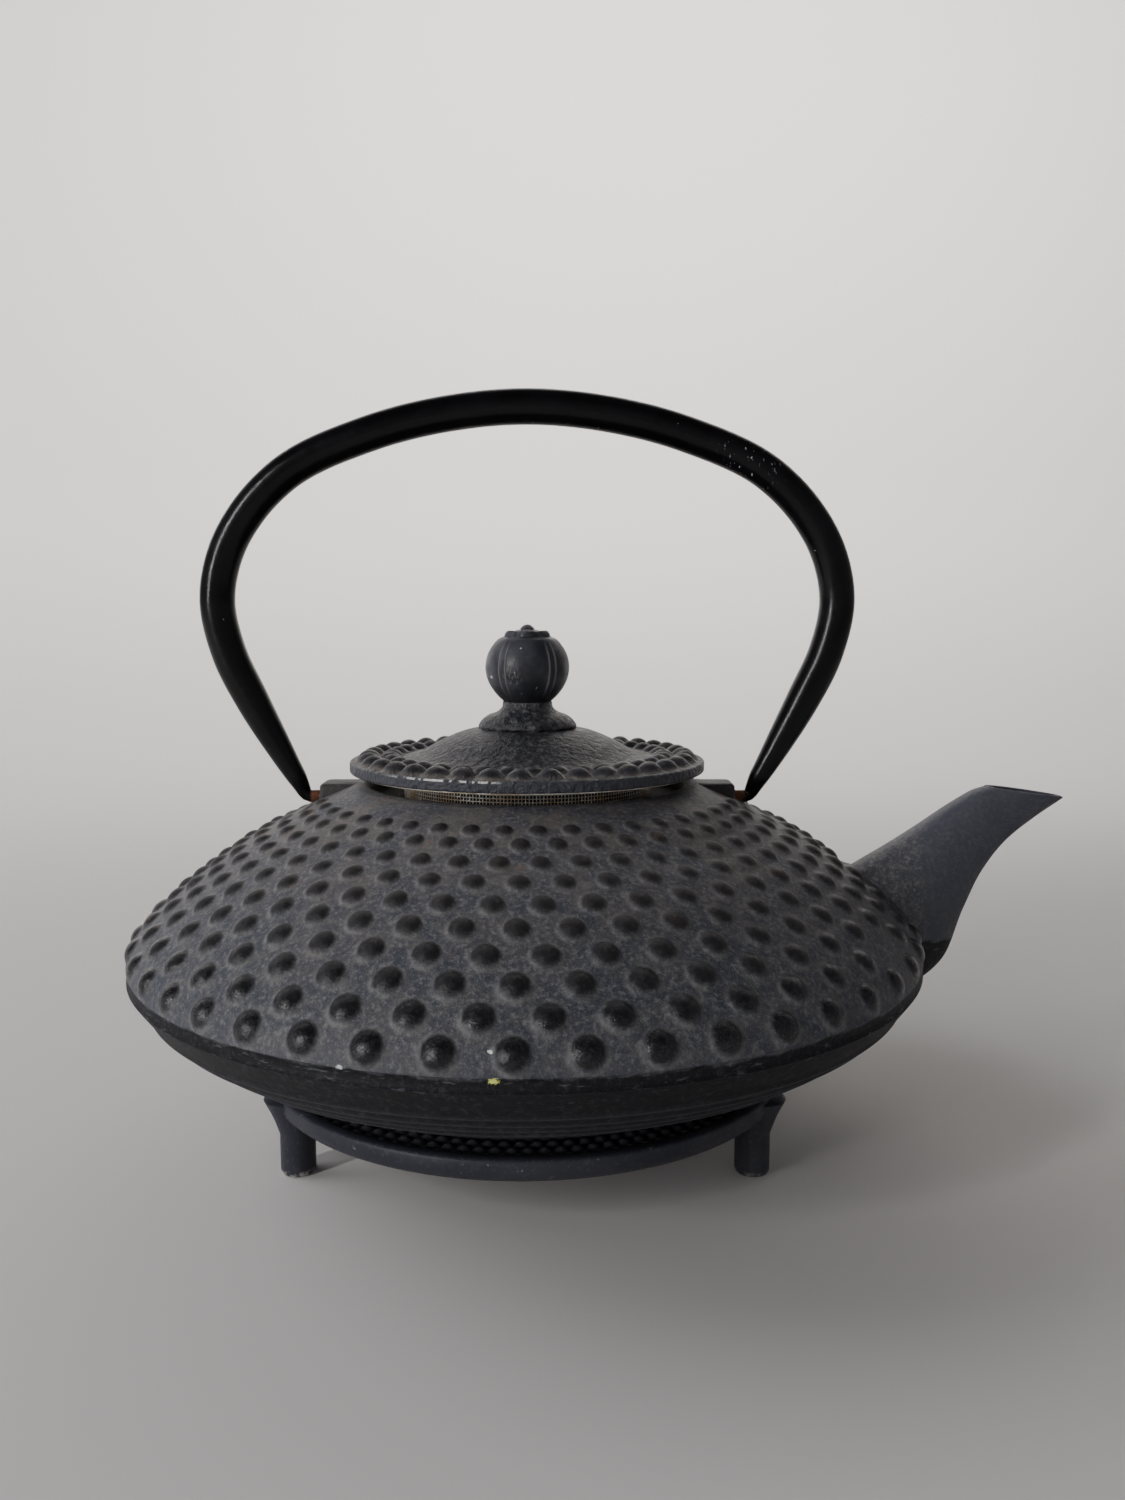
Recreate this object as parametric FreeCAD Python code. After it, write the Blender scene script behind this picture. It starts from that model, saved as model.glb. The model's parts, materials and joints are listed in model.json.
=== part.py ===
import FreeCAD, Part
import math
import os

from FreeCAD import Vector

# Cast iron teapot on its own trivet, with a bail handle, a lift-out strainer and a lid.
# Millimetres. +Z is up and z = 0 is the floor under the trivet's feet.
# The pot's axis is x = y = 0, the spout points along +X and the handle's hinge runs along X.

BELLY_R = 88.0  # largest radius of the pot; every other outline is a share of it

# Trivet
TRIVET_R = 0.683 * BELLY_R
TRIVET_BOTTOM = 0.147 * BELLY_R
TRIVET_TOP = 0.200 * BELLY_R
FLOOR_Z = 15.8
RIM_WIDTH = 3.4  # the raised rim round the trivet's floor
FLOOR_R = TRIVET_R - RIM_WIDTH
LEG_COUNT = 3
LEG_CENTRE_R = 0.634 * BELLY_R
LEG_R = 3.7
LEG_FLARE_R = 0.713 * BELLY_R

# Pot
WALL = 3.2
BASE_WALL = 3.6
BASE_R = 0.50 * BELLY_R
MOUTH_Z = 0.912 * BELLY_R
MOUTH_R = 0.405 * BELLY_R  # inside the thin upright rim
LEDGE_TOP = 77.2  # the ledge inside the rim that the strainer wedges into
LEDGE_HOLE_R = 28.15

# Lugs and handle
HINGE_Z = 0.870 * BELLY_R
LUG_TOP = 0.909 * BELLY_R
LUG_END = 0.546 * BELLY_R
LUG_START = 0.450 * BELLY_R
LUG_WIDTH = 9.0
LUG_DEPTH = 8.6
PIN_R = 1.40
PIN_CLEARANCE = 0.05
PIN_DEPTH = 6.2
PIN_END_GAP = 0.3  # room past the pin's end in its bore
HANDLE_R = 3.95
HANDLE_WALL = 1.1
TAPER_TOP_Z = 1.20 * BELLY_R
HOOK_TOP_R = 2.15
HOOK_TOP_Z = 0.895 * BELLY_R

# Spout
SPOUT_WALL = 2.3

# Strainer
FLANGE_R = 0.4375 * BELLY_R
FLANGE_BOTTOM = 0.938 * BELLY_R
FLANGE_THICK = 0.45
FLANGE_BEVEL = 0.15
COLLAR_HEIGHT = 0.8
SHEET = 0.4
MESH_TOP_R = 28.27
MESH_BOTTOM_R = 27.2
BASKET_BOTTOM = 44.5
BASE_BAND = 2.6
BASE_LIP = 2.4  # how far the base ring turns in under the mesh
SEAM_WIDTH = 4.0

# Lid and knob
LID_R = 0.456 * BELLY_R
LID_BOTTOM = FLANGE_BOTTOM + FLANGE_THICK + 0.02
LID_EDGE = 2.45
LID_CORNER = 0.5
LID_WALL = 3.0
SKIRT_R = 27.3
SKIRT_WALL = 2.2
SKIRT_BOTTOM = 77.5
COLLAR_TOP = 1.118 * BELLY_R
RIVET_TOP = 1.206 * BELLY_R
KNOB_DISC_R = 0.0610 * BELLY_R
KNOB_DISC_TOP = 1.288 * BELLY_R
FLOWER_TOP = 1.316 * BELLY_R
PETALS = 6
RIVET_R = 2.0
RIVET_HEAD_R = 3.6
RIVET_HEAD_HEIGHT = 1.5
WASHER_R = 5.2
WASHER_THICK = 1.0

# The pot's outline from the mouth to the belly, and from the belly to the base ring,
# as (radius, height) shares of the belly radius.
SHOULDER = [(0.433, 0.912), (0.530, 0.872), (0.620, 0.821), (0.703, 0.778),
            (0.816, 0.700), (0.918, 0.617), (0.979, 0.553), (1.000, 0.508)]
UNDERSIDE = [(1.000, 0.478), (0.984, 0.455), (0.950, 0.413), (0.860, 0.344),
             (0.760, 0.285), (0.640, 0.235), (0.520, 0.203)]

# The lid's dome up to the collar, the flared collar, and the knob's ball, as (radius, height) shares.
DOME = [(0.375, 0.976), (0.318, 0.977), (0.290, 0.984), (0.217, 1.021), (0.161, 1.043), (0.1225, 1.050)]
COLLAR = [(0.1225, 1.050), (0.1265, 1.0535), (0.1205, 1.0675), (0.1015, 1.083),
          (0.0775, 1.0925), (0.0652, 1.105), (0.0635, 1.118)]
BALL = [(0.0610, 1.118), (0.0803, 1.137), (0.1018, 1.172), (0.1085, 1.207),
        (0.1030, 1.241), (0.0905, 1.266), (0.0780, 1.280), (0.0640, 1.2838)]

BAIL_STATIONS = 30  # circles that carry one half of the handle's tube

# The handle's centreline from the crown down to the hook, as (x, z) shares.
BAIL = [(0.000, 1.8605), (0.200, 1.843), (0.410, 1.790), (0.620, 1.690), (0.700, 1.612),
        (0.766, 1.504), (0.7935, 1.378), (0.770, 1.250), (0.7116, 1.121), (0.6464, 0.991),
        (0.6180, 0.925), (0.6090, 0.893), (0.5930, 0.8735), (0.568, 0.870)]

# The spout from its root inside the pot to past its mouth: upper point, lower point and
# half-width of each section, all as shares.
SPOUT = [((0.800, 0.640), (0.860, 0.400), 0.130),
         ((0.860, 0.688), (1.000, 0.372), 0.125),
         ((0.935, 0.735), (1.085, 0.430), 0.112),
         ((1.016, 0.788), (1.142, 0.572), 0.094),
         ((1.100, 0.847), (1.192, 0.680), 0.077),
         ((1.180, 0.895), (1.280, 0.782), 0.064),
         ((1.300, 0.972), (1.3945, 0.867), 0.058),
         ((1.400, 1.036), (1.500, 0.944), 0.056)]
MOUTH_BACK = (1.192, 0.894)
MOUTH_TIP = (1.3945, 0.867)


def scaled(points):
    """Outline shares as lengths in the XZ plane."""
    return [Vector(x * BELLY_R, 0, z * BELLY_R) for x, z in points]


def spline(points):
    curve = Part.BSplineCurve()
    curve.interpolate(points)
    return curve


def line(a, b):
    return Part.LineSegment(a, b).toShape()


def polyline(points):
    return [line(a, b) for a, b in zip(points, points[1:])]


def revolved(edges):
    """Solid of revolution about Z from edges that close in the XZ plane, with its seam at the back."""
    face = Part.Face(Part.Wire(edges))
    face.rotate(Vector(0, 0, 0), Vector(0, 0, 1), 90)
    return face.revolve(Vector(0, 0, 0), Vector(0, 0, 1), 360)


def ring(points):
    corners = [Vector(r, 0, z) for r, z in points]
    return revolved(polyline(corners + corners[:1]))


def cylinder(radius, low, high, x=0.0, y=0.0):
    return Part.makeCylinder(radius, high - low, Vector(x, y, low))


def box(low, high):
    size = Vector(*high) - Vector(*low)
    return Part.makeBox(size.x, size.y, size.z, Vector(*low))


def inset(points, distance):
    """The outline moved towards the pot's inside, square to itself."""
    moved = []
    last = len(points) - 1
    for i, point in enumerate(points):
        along = points[min(i + 1, last)] - points[max(i - 1, 0)]
        normal = Vector(along.z, 0, -along.x).normalize()
        moved.append(point + normal * distance)
    return moved


def circle(centre, along, radius):
    return Part.Wire(Part.Circle(centre, along, radius).toShape())


def mirrored(shape):
    return shape.mirror(Vector(0, 0, 0), Vector(1, 0, 0))


# ---------------------------------------------------------------- trivet

def trivet_leg(angle):
    """Round leg that flares outwards into the rim's edge."""
    top = TRIVET_TOP - 0.6
    flare = LEG_FLARE_R - LEG_CENTRE_R - LEG_R
    sections = [(0.0, LEG_R - 0.5, 0.0), (0.5, LEG_R, 0.0), (0.68 * TRIVET_BOTTOM, LEG_R, 0.0),
                (TRIVET_BOTTOM, LEG_R + 0.15 * flare, 0.3 * flare), (top, LEG_R + 0.5 * flare, 0.5 * flare)]
    wires = []
    for height, radius, shift in sections:
        wires.append(circle(Vector(LEG_CENTRE_R + shift, 0, height), Vector(0, 0, 1), radius))
    leg = Part.makeLoft(wires, True, True)
    leg.rotate(Vector(0, 0, 0), Vector(0, 0, 1), angle)
    return leg


def trivet():
    plate = ring([(0, TRIVET_BOTTOM), (TRIVET_R - 1.6, TRIVET_BOTTOM), (TRIVET_R - 0.9, TRIVET_BOTTOM + 0.7),
                  (TRIVET_R, TRIVET_TOP - 0.9), (TRIVET_R - 0.7, TRIVET_TOP), (FLOOR_R + 0.6, TRIVET_TOP),
                  (FLOOR_R, FLOOR_Z), (0, FLOOR_Z)])
    for i in range(LEG_COUNT):
        plate = plate.fuse(trivet_leg(90 + 360 * i / LEG_COUNT))
    recess = cylinder(FLOOR_R, FLOOR_Z, TRIVET_TOP + 1)
    return plate.cut(recess).removeSplitter()


# ---------------------------------------------------------------- pot

def pot_outside():
    shoulder = scaled(SHOULDER)
    underside = scaled(UNDERSIDE)
    base_edge = Vector(BASE_R, 0, FLOOR_Z)
    edges = [spline(shoulder).toShape(), line(shoulder[-1], underside[0]), spline(underside).toShape()]
    edges += polyline([underside[-1], Vector(BASE_R + 1.2, 0, FLOOR_Z + 1.0), base_edge,
                       Vector(0, 0, FLOOR_Z), Vector(0, 0, MOUTH_Z), shoulder[0]])
    return revolved(edges)


def pot_cavity():
    """Space inside the pot, up to the underside of the mouth's ledge."""
    wall = inset(scaled(SHOULDER + UNDERSIDE), WALL)
    floor_z = FLOOR_Z + BASE_WALL
    above = wall[1:len(SHOULDER)]
    below = wall[len(SHOULDER):]
    edges = [spline(above).toShape(), line(above[-1], below[0]), spline(below).toShape()]
    edges += polyline([below[-1], Vector(BASE_R - WALL, 0, floor_z), Vector(0, 0, floor_z),
                       Vector(0, 0, above[0].z), above[0]])
    return revolved(edges)


def mouth():
    """Wide recess inside the rim, over the narrower hole in the ledge."""
    recess = cylinder(MOUTH_R, LEDGE_TOP, MOUTH_Z + 1)
    return recess.fuse(cylinder(LEDGE_HOLE_R, LEDGE_TOP - 12, LEDGE_TOP + 1))


def spout_section(upper, lower, half_width, wall):
    """Closed outline across the spout: flat-sided, with a narrower underside."""
    top = Vector(upper[0], 0, upper[1]) * BELLY_R
    bottom = Vector(lower[0], 0, lower[1]) * BELLY_R
    centre = (top + bottom) * 0.5
    up = (top - bottom).normalize()
    half_height = (top - bottom).Length / 2 - wall
    width = half_width * BELLY_R - wall
    points = []
    for i in range(16):
        angle = math.radians(22.5 * i)
        rise = math.cos(angle)
        side = math.copysign(abs(math.sin(angle)) ** 0.8, math.sin(angle))
        narrowing = 1 - 0.16 * (1 - rise)
        points.append(centre + up * half_height * rise + Vector(0, width * side * narrowing, 0))
    curve = Part.BSplineCurve()
    curve.interpolate(points, PeriodicFlag=True)
    return Part.Wire(curve.toShape())


def spout_solid(wall):
    sections = [spout_section(u, l, w, wall) for u, l, w in SPOUT]
    return Part.makeLoft(sections, True, False)


def above_spout_mouth():
    back, tip = scaled([MOUTH_BACK, MOUTH_TIP])
    near = back - (tip - back) * 0.2
    far = back + (tip - back) * 2
    corners = [near, far, far + Vector(0, 0, 60), near + Vector(0, 0, 60)]
    face = Part.Face(Part.Wire(polyline(corners + corners[:1])))
    face.translate(Vector(0, -30, 0))
    return face.extrude(Vector(0, 60, 0))


def lug():
    half = LUG_WIDTH / 2
    block = box((LUG_START, -half, LUG_TOP - LUG_DEPTH), (LUG_END, half, LUG_TOP))
    upright = [e for e in block.Edges if abs(e.tangentAt(0).z) > 0.9 and e.CenterOfMass.x > LUG_END - 0.1]
    block = block.makeFillet(1.2, upright)
    rims = [e for e in block.Edges if e.BoundBox.ZMin > LUG_TOP - 0.1 and e.CenterOfMass.x > LUG_START + 0.5]
    return block.makeFillet(0.8, rims)


def lug_bore():
    start = LUG_END - PIN_DEPTH - PIN_END_GAP
    return Part.makeCylinder(PIN_R + PIN_CLEARANCE, 12, Vector(start, 0, HINGE_Z), Vector(1, 0, 0))


def pot_body():
    shell = pot_outside().fuse(spout_solid(0)).cut(above_spout_mouth())
    shell = shell.cut(pot_cavity()).cut(spout_solid(SPOUT_WALL))
    shell = shell.cut(mouth())
    shell = shell.fuse([lug(), mirrored(lug())])
    return shell.cut([lug_bore(), mirrored(lug_bore())]).removeSplitter()


# ---------------------------------------------------------------- handle

def tube_radius(z):
    """Full size over the top, swaged down towards the hook, then down to the pin."""
    if z > HOOK_TOP_Z:
        share = min(1.0, (z - HOOK_TOP_Z) / (TAPER_TOP_Z - HOOK_TOP_Z))
        return HOOK_TOP_R + (HANDLE_R - HOOK_TOP_R) * math.sin(share * math.pi / 2)
    share = max(0.0, (z - HINGE_Z) / (HOOK_TOP_Z - HINGE_Z))
    return PIN_R + (HOOK_TOP_R - PIN_R) * share


def bail_stations():
    """Points and directions along one half of the bail, from the crown down to the hook."""
    curve = Part.BSplineCurve()
    curve.interpolate(scaled(BAIL), InitialTangent=Vector(1, 0, 0), FinalTangent=Vector(-1, 0, 0))
    stations = []
    for i in range(BAIL_STATIONS + 1):
        at = curve.parameterAtDistance(curve.length() * i / BAIL_STATIONS, curve.FirstParameter)
        stations.append((curve.value(at), curve.tangent(at)[0]))
    return stations


def bail_solid(wall):
    """The whole bail as one tube of circles, or its hollow when a wall is taken off."""
    right = [(p, a) for p, a in bail_stations() if tube_radius(p.z) > 2 * wall]
    left = [(Vector(-p.x, 0, p.z), Vector(-a.x, 0, a.z)) for p, a in right[1:]]
    path = [(p, a * -1) for p, a in reversed(right)] + left
    circles = [circle(p, a, tube_radius(p.z) - wall) for p, a in path]
    return Part.makeLoft(circles, True, False)


def handle_pin():
    """Straight end of the bail, from the hook into the lug."""
    start = LUG_END - PIN_DEPTH
    pin = Part.makeCylinder(PIN_R, BAIL[-1][0] * BELLY_R - start, Vector(start, 0, HINGE_Z), Vector(1, 0, 0))
    tip = [e for e in pin.Edges if abs(e.CenterOfMass.x - start) < 0.01]
    return pin.makeChamfer(0.3, tip)


def handle():
    hollow_tube = bail_solid(0).cut(bail_solid(HANDLE_WALL))
    return hollow_tube.fuse([handle_pin(), mirrored(handle_pin())])


# ---------------------------------------------------------------- strainer

def mesh_radius(z):
    """Outer radius of the tapered basket at a height."""
    share = (z - BASKET_BOTTOM) / (FLANGE_BOTTOM - BASKET_BOTTOM)
    return MESH_BOTTOM_R + share * (MESH_TOP_R - MESH_BOTTOM_R)


def strainer_rim():
    top = FLANGE_BOTTOM + FLANGE_THICK
    collar = mesh_radius(FLANGE_BOTTOM)
    low = FLANGE_BOTTOM - COLLAR_HEIGHT
    edge = FLANGE_R - FLANGE_BEVEL
    return ring([(collar - SHEET, FLANGE_BOTTOM), (collar, FLANGE_BOTTOM), (mesh_radius(low), low),
                 (mesh_radius(low) + SHEET, low), (collar + SHEET, FLANGE_BOTTOM), (edge, FLANGE_BOTTOM),
                 (FLANGE_R, FLANGE_BOTTOM + FLANGE_BEVEL), (FLANGE_R, top - FLANGE_BEVEL), (edge, top),
                 (collar, top), (collar - SHEET, top - FLANGE_BEVEL)])


def strainer_wall():
    low = BASKET_BOTTOM
    high = FLANGE_BOTTOM
    return ring([(mesh_radius(low) - SHEET, low), (mesh_radius(low), low),
                 (mesh_radius(high), high), (mesh_radius(high) - SHEET, high)])


def strainer_seam():
    low = BASKET_BOTTOM + SHEET
    high = FLANGE_BOTTOM - 0.1
    band = ring([(mesh_radius(low) - 2 * SHEET, low), (mesh_radius(low) - SHEET, low),
                 (mesh_radius(high) - SHEET, high), (mesh_radius(high) - 2 * SHEET, high)])
    half = SEAM_WIDTH / 2
    return band.common(box((-half, 20, low - 1), (half, 40, high + 1)))


def strainer_base():
    inner = mesh_radius(BASKET_BOTTOM) - SHEET
    return cylinder(inner, BASKET_BOTTOM, BASKET_BOTTOM + SHEET)


def strainer_base_ring():
    low = BASKET_BOTTOM
    high = low + BASE_BAND
    lip = mesh_radius(low) - BASE_LIP
    return ring([(lip, low - SHEET), (mesh_radius(low) + SHEET, low - SHEET),
                 (mesh_radius(high) + SHEET, high), (mesh_radius(high), high),
                 (mesh_radius(low), low), (lip, low)])


# ---------------------------------------------------------------- lid and knob

def corner(r, z, start):
    """Quarter round of the lid's edge, about a centre at a radius and height."""
    points = []
    for angle in (start, start + 45, start + 90):
        turn = math.radians(angle)
        points.append(Vector(r + LID_CORNER * math.cos(turn), 0, z + LID_CORNER * math.sin(turn)))
    return Part.Arc(*points).toShape()


def lid_outside():
    """Edge, nearly flat hobnail band, dome and the flared collar under the knob."""
    edge_top = LID_BOTTOM + LID_EDGE
    rim = LID_R - LID_CORNER
    low = corner(rim, LID_BOTTOM + LID_CORNER, -90)
    high = corner(rim, edge_top - LID_CORNER, 0)
    dome = [high.Vertexes[-1].Point] + scaled(DOME)
    collar = scaled(COLLAR)
    edges = [low, line(low.Vertexes[-1].Point, high.Vertexes[0].Point), high]
    edges += [spline(dome).toShape(), spline(collar).toShape()]
    edges += polyline([collar[-1], Vector(0, 0, COLLAR_TOP), Vector(0, 0, LID_BOTTOM),
                       low.Vertexes[0].Point])
    return revolved(edges)


def lid_roof():
    """Height of the flat that the washer sits against, under the collar."""
    return DOME[-1][1] * BELLY_R - LID_WALL


def lid_hollow():
    """Space under the dome, inside the skirt."""
    inner = SKIRT_R - SKIRT_WALL
    roof = lid_roof()
    return ring([(0, SKIRT_BOTTOM - 1), (inner, SKIRT_BOTTOM - 1), (inner, LID_BOTTOM - 0.4),
                 (0.55 * inner, roof - 1.6), (WASHER_R + 1, roof), (0, roof)])


def lid():
    skirt = ring([(0, SKIRT_BOTTOM), (SKIRT_R - 0.5, SKIRT_BOTTOM), (SKIRT_R, SKIRT_BOTTOM + 0.5),
                  (SKIRT_R, LID_BOTTOM + 0.2), (0, LID_BOTTOM + 0.2)])
    hole = cylinder(RIVET_R, SKIRT_BOTTOM, COLLAR_TOP + 1)
    return lid_outside().fuse(skirt).cut(lid_hollow()).cut(hole).removeSplitter()


def flower():
    """Disc on top of the ball with six petals round a button."""
    low = BALL[-1][1] * BELLY_R - 0.8
    petal_top = KNOB_DISC_TOP + 0.45 * (FLOWER_TOP - KNOB_DISC_TOP)
    button = Part.makeCone(0.32 * KNOB_DISC_R, 0.16 * KNOB_DISC_R, FLOWER_TOP - low, Vector(0, 0, low))
    shapes = [cylinder(KNOB_DISC_R, low, KNOB_DISC_TOP), button]
    reach = 0.62 * KNOB_DISC_R
    for i in range(PETALS):
        angle = 2 * math.pi * i / PETALS
        x, y = reach * math.cos(angle), reach * math.sin(angle)
        shapes.append(cylinder(0.30 * KNOB_DISC_R, low, petal_top, x, y))
    return shapes


def knob():
    """Cast ball that stands on the collar, with a hole up its middle for the rivet."""
    ball = scaled(BALL)
    edges = [spline(ball).toShape()]
    edges += polyline([ball[-1], Vector(0, 0, ball[-1].z), Vector(0, 0, ball[0].z), ball[0]])
    solid = revolved(edges).fuse(flower())
    return solid.cut(cylinder(RIVET_R, COLLAR_TOP - 1, RIVET_TOP + 0.5)).removeSplitter()


def knob_rivet():
    """Stud pressed up into the knob, with its head peened under the washer."""
    seat = lid_roof() - WASHER_THICK
    shank = cylinder(RIVET_R, seat, RIVET_TOP)
    low = seat - RIVET_HEAD_HEIGHT
    head = ring([(0, low), (0.6 * RIVET_HEAD_R, low + 0.1), (RIVET_HEAD_R, low + 0.9),
                 (RIVET_HEAD_R, seat), (0, seat)])
    return shank.fuse(head).removeSplitter()


def knob_washer():
    roof = lid_roof()
    return cylinder(WASHER_R, roof - WASHER_THICK, roof).cut(cylinder(RIVET_R, roof - 3, roof + 1))


PIECES = {
    "trivet": trivet,
    "pot_body": pot_body,
    "handle": handle,
    "strainer_rim": strainer_rim,
    "strainer_wall": strainer_wall,
    "strainer_seam": strainer_seam,
    "strainer_base": strainer_base,
    "strainer_base_ring": strainer_base_ring,
    "lid": lid,
    "knob": knob,
    "knob_rivet": knob_rivet,
    "knob_washer": knob_washer,
}

os.makedirs("parts", exist_ok=True)
for name, make in PIECES.items():
    shape = make()
    print(name, "solids", len(shape.Solids), "valid", shape.isValid(), "volume", round(shape.Volume))
    shape.exportStep("parts/" + name + ".step")
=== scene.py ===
"""Looks of a hobnailed cast iron teapot on its trivet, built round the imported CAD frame.

Everything is in metres in the frame's own axes: +Z up, spout along +X, front along -Y.
Outlines are shares of the belly radius, which is read from the frame.
"""
import json
from collections import namedtuple
from functools import reduce
from math import cos, pi, radians, sin, sqrt

import bmesh
import bpy
import numpy as np
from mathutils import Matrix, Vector
from mathutils.bvhtree import BVHTree


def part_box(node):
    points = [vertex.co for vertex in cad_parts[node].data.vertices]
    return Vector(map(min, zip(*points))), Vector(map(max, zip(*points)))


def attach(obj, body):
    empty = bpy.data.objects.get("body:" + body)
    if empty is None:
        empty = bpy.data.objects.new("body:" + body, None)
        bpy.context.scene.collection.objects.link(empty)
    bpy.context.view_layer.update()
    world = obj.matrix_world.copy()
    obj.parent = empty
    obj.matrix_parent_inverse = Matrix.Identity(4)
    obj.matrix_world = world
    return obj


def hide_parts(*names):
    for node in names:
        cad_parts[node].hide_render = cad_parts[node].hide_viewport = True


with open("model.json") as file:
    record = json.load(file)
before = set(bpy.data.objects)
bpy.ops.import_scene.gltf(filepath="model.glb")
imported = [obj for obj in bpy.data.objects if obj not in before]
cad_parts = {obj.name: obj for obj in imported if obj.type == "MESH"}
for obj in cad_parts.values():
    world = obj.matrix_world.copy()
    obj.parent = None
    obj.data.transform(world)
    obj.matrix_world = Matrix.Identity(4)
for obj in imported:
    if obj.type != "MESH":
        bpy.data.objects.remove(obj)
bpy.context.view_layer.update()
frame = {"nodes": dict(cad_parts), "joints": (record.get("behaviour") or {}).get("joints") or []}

MM = 0.001
TURN = 2 * pi
FRONT = -pi / 2
POT_LOW, POT_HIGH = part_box("pot_body")
R = POT_HIGH.y  # belly radius
HINGE_Z = next(j for j in frame["joints"] if j["name"] == "handle_swing")["pos_m"][2]

# Pot outlines as (radius, height) shares
SHOULDER = [(0.433, 0.912), (0.53, 0.872), (0.62, 0.821), (0.703, 0.778),
            (0.816, 0.7), (0.918, 0.617), (0.979, 0.553), (1.0, 0.508)]
UNDERSIDE = [(1.0, 0.478), (0.984, 0.455), (0.95, 0.413), (0.86, 0.344),
             (0.76, 0.285), (0.64, 0.235), (0.52, 0.203)]
MOUTH_Z = 0.912
MOUTH_R = 0.405
LEDGE_TOP = 77.2 * MM
LEDGE_LOW = 73.8 * MM
LEDGE_HOLE_R = 28.15 * MM
BASE_Z = POT_LOW.z
BASE_R = 0.5 * R
WALL = 3.2 * MM
RIDGES = [0.949, 0.92, 0.882, 0.842]  # radii of the fine rings under the belly
RIDGE_HEIGHT = 0.5 * MM
RIDGE_WIDTH = 0.55 * MM

# Lugs
LUG_TOP = 0.909 * R
LUG_START = 0.44 * R
LUG_END = 0.534 * R
LUG_HALF = 4.5 * MM
BORE_R = 1.45 * MM
PIN_DEPTH = 5.15 * MM

# Hobnails: radii of the pot's rows, then how many stand in a row
POT_ROWS = [0.528, 0.57, 0.621, 0.677, 0.733, 0.785, 0.837, 0.889, 0.94, 0.984]
POT_BUMPS = 45
CAP_SHADE_SHIFT = 0.06  # share of a hobnail's size that its dark worn cap sits uphill, as painted shade on its upper side
CAP_EDGE = 1.08  # where the cap has faded out, in hobnail radii
CAP_BLUR = 0.24
RING_AT = 1.1  # the dusty ring round a hobnail
RING_WIDTH = 0.17
PROUD_LIMIT = 6.0 * MM  # anything higher over the shoulder is no hobnail
LUG_CLEAR = 5.6 * MM  # no hobnails this near the middle plane at a lug
HOOK_CLEAR = 10 * MM  # lower ones this near it beside a lug
SPOUT_CLEAR = 1.3 * MM
LID_ROWS = [0.351, 0.408]
LID_BUMPS = 38

# Spout sections: upper point, lower point and half-width, from inside the pot to the mouth
SPOUT = [((0.8, 0.64), (0.86, 0.4), 0.13),
         ((0.86, 0.688), (1.0, 0.372), 0.125),
         ((0.935, 0.735), (1.085, 0.43), 0.112),
         ((1.016, 0.788), (1.142, 0.572), 0.094),
         ((1.1, 0.847), (1.192, 0.68), 0.077),
         ((1.16, 0.884), (1.256, 0.762), 0.066),
         ((1.182, 0.892), (1.322, 0.816), 0.061),
         ((1.192, 0.894), (1.3945, 0.867), 0.06)]
SPOUT_WALL_ROOT = 2.4 * MM
SPOUT_WALL_LIP = 1.5 * MM

# Handle's centreline from the crown to the hook, as (x, z) shares, and its sizes
BAIL = [(0.0, 1.8605), (0.2, 1.843), (0.41, 1.79), (0.62, 1.69), (0.7, 1.612),
        (0.766, 1.504), (0.7935, 1.378), (0.77, 1.25), (0.7116, 1.121), (0.6557, 1.016),
        (0.619, 0.95), (0.5965, 0.911), (0.5855, 0.889), (0.5775, 0.8755), (0.566, 0.87)]
HANDLE_R = 3.95 * MM
TAPER_TOP_Z = 1.2 * R
HOOK_TOP_R = 2.25 * MM
HOOK_TOP_Z = 0.92 * R
PIN_R = 1.4 * MM

# Lid, collar and knob as (radius, height) shares
LID_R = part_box("lid")[1].x
LID_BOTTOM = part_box("strainer_rim")[1].z + 0.02 * MM
LID_EDGE = 2.45 * MM
LID_CORNER = 0.5 * MM
DOME = [(0.375, 0.976), (0.318, 0.977), (0.29, 0.984), (0.217, 1.021), (0.161, 1.043), (0.1225, 1.05)]
COLLAR = [(0.1225, 1.05), (0.1265, 1.0535), (0.1205, 1.0675), (0.1015, 1.083),
          (0.0775, 1.0925), (0.0652, 1.105), (0.0635, 1.118)]
BALL = [(0.061, 1.118), (0.0803, 1.137), (0.1018, 1.172), (0.1085, 1.207),
        (0.1015, 1.241), (0.0865, 1.266), (0.074, 1.279), (0.064, 1.2838)]
SKIRT_R = 27.3 * MM
SKIRT_WALL = 2.2 * MM
ROOF = DOME[-1][1] * R - 3.0 * MM
RIVET_R = 2.0 * MM
RIVET_TOP = 1.206 * R
DISC_R = 0.061 * R
DISC_TOP = 1.2865 * R
FLOWER_TOP = 1.316 * R
PETALS = 6
RIB_PAIRS = 5
RIB_SPREAD = radians(5)  # each rib's angle from the middle of its pair
RIB_HEIGHT = 0.2 * MM
RIB_WIDTH = 0.19 * MM
KNOB_FRONT = FRONT + radians(1.7)  # the knob is turned a little on its rivet

# Strainer
BASKET_LOW, BASKET_HIGH = (corner.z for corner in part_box("strainer_wall"))
BASKET_TOP_R = 28.27 * MM
BASKET_BOTTOM_R = 27.2 * MM
WIRE_PITCH = 0.76 * MM
WIRE_R = 0.12 * MM
WEAVE = 0.07 * MM  # how far a wire waves to each side
SHEET = 0.4 * MM

# Trivet
TRIVET_R = 0.683 * R
TRIVET_BOTTOM = 0.147 * R
TRIVET_TOP = 0.2 * R
FLOOR_Z = BASE_Z
FLOOR_R = TRIVET_R - 3.4 * MM
LEG_COUNT = 3
LEG_CENTRE_R = 0.634 * R
LEG_R = 3.7 * MM
LEG_FLARE_R = 0.713 * R

# Camera
SENSOR_MM = 36.0
LENS_MM = 28.26
EYE = (0.0905 * R, -3.0406 * R, 1.3357 * R)
TILT_DEG = 6.469

Row = namedtuple("Row", "arc radius first count size height keep")


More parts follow.
